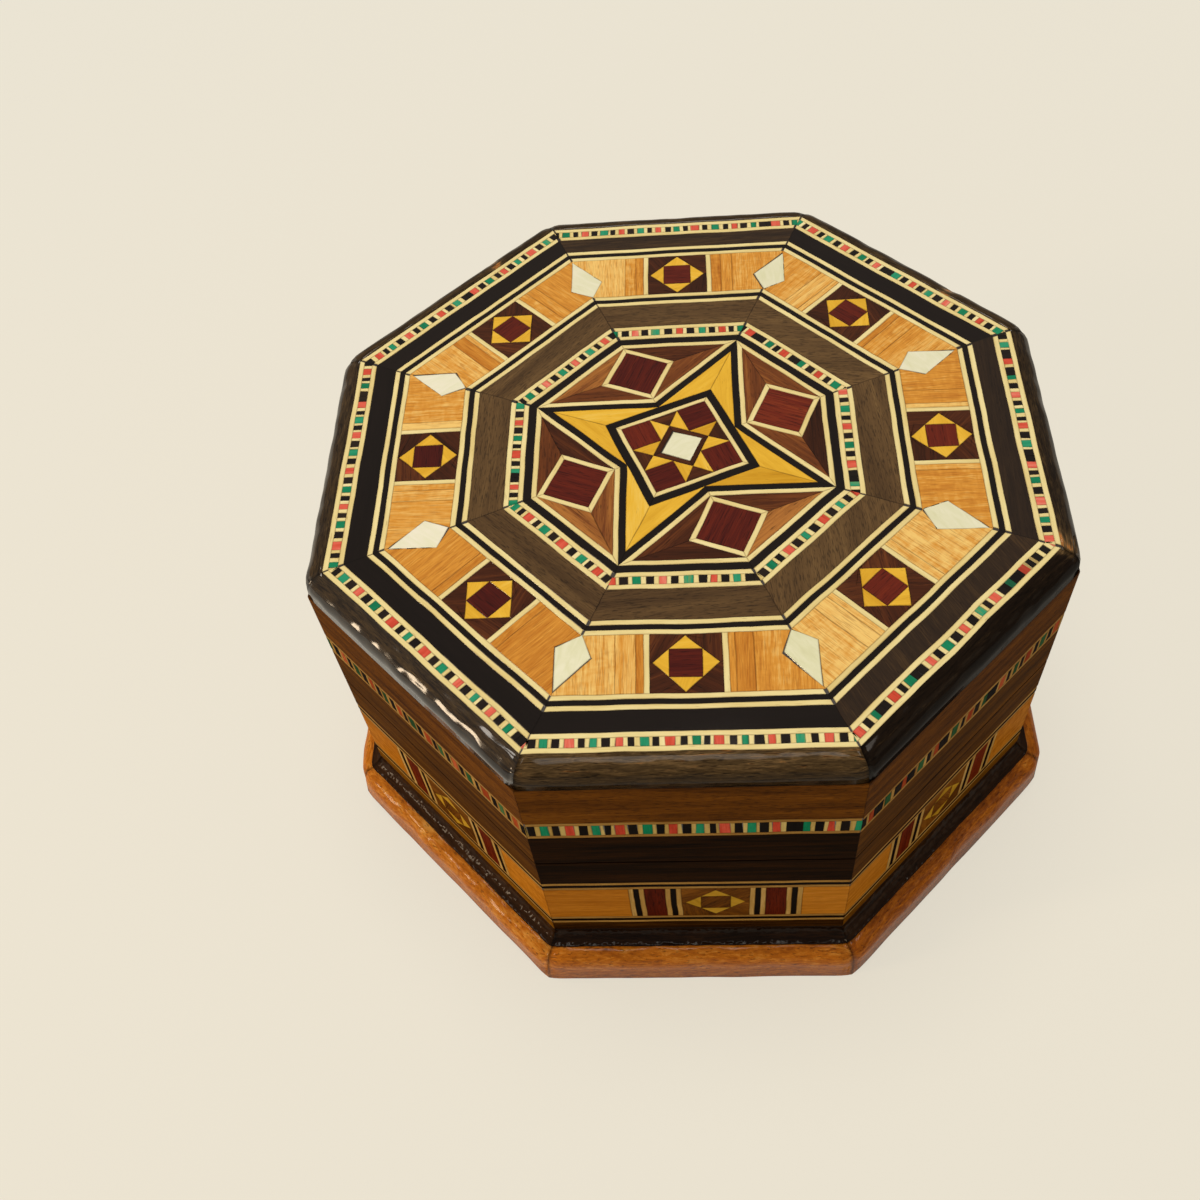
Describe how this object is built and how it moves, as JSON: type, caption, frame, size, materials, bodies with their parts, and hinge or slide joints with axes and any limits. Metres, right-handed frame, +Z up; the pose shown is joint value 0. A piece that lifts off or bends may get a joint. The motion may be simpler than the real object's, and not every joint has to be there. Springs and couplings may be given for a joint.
{
  "type": "mosaic box",
  "caption": "Octagonal wooden keepsake box with a hinged deep lid, star marquetry and mosaic banding, a moulded plinth and a velvet lining.",
  "frame": {"origin": "middle of the underside, on the surface that the box stands on", "axes": "+Z up, -Y towards the front of the box, the hinge is at +Y"},
  "size_m": [0.115, 0.115, 0.06],
  "materials": {
    "carcass_wood": "planed",
    "plinth_wood": "gloss lacquer",
    "dark_walnut": "gloss lacquer",
    "walnut": "gloss lacquer",
    "ebonised_wood": "gloss lacquer",
    "light_wood": "gloss lacquer",
    "cream_wood": "gloss lacquer",
    "yellow_wood": "gloss lacquer",
    "red_wood": "gloss lacquer",
    "mosaic_rods": "gloss lacquer",
    "mother_of_pearl": "gloss lacquer",
    "velvet": "velvet pile",
    "brass": "polished"
  },
  "bodies": {
    "box": {"base_board": "carcass_wood", "body_black_lines": "ebonised_wood", "body_cream_lines": "cream_wood", "body_dark_bands": "dark_walnut", "body_light_panels": "light_wood", "body_red_panels": "red_wood", "body_tile_grounds": "walnut", "body_tile_points": "yellow_wood", "body_wall_back": "carcass_wood", "body_wall_back_left": "carcass_wood", "body_wall_back_right": "carcass_wood", "body_wall_front": "carcass_wood", "body_wall_front_left": "carcass_wood", "body_wall_front_right": "carcass_wood", "body_wall_left": "carcass_wood", "body_wall_right": "carcass_wood", "cove_moulding": "dark_walnut", "floor_pad": "velvet", "hinge_leaf_body": "brass", "hinge_pin": "brass", "hinge_screws_body": "brass", "plinth_moulding": "plinth_wood", "wall_lining": "velvet"},
    "lid": {"hinge_leaf_lid": "brass", "hinge_screws_lid": "brass", "lid_board": "carcass_wood", "lid_border": "dark_walnut", "lid_cream_lines": "cream_wood", "lid_dark_bands": "dark_walnut", "lid_lining": "velvet", "lid_mosaic_cores": "mosaic_rods", "lid_pad": "velvet", "lid_wall_back": "carcass_wood", "lid_wall_back_left": "carcass_wood", "lid_wall_back_right": "carcass_wood", "lid_wall_front": "carcass_wood", "lid_wall_front_left": "carcass_wood", "lid_wall_front_right": "carcass_wood", "lid_wall_left": "carcass_wood", "lid_wall_right": "carcass_wood", "lid_walnut_bands": "walnut", "pearl_inlays": "mother_of_pearl", "petal_grounds": "walnut", "star_black_lines": "ebonised_wood", "star_cream_lines": "cream_wood", "star_grounds": "dark_walnut", "star_hearts": "red_wood", "star_points": "yellow_wood", "top_black_lines": "ebonised_wood", "top_cream_lines": "cream_wood", "top_dark_band": "ebonised_wood", "top_divider_lines": "cream_wood", "top_light_panels": "light_wood", "top_mosaic_cores": "mosaic_rods", "top_tile_grounds": "dark_walnut", "top_tile_hearts": "red_wood", "top_tile_points": "yellow_wood", "top_walnut_band": "walnut"}
  },
  "joints": [
    {"name": "lid_hinge", "type": "hinge", "parent": "box", "child": "lid", "pos_m": [0, 0.0546, 0.034], "axis": [-1, 0, 0], "range_deg": [0, 105]}
  ]
}
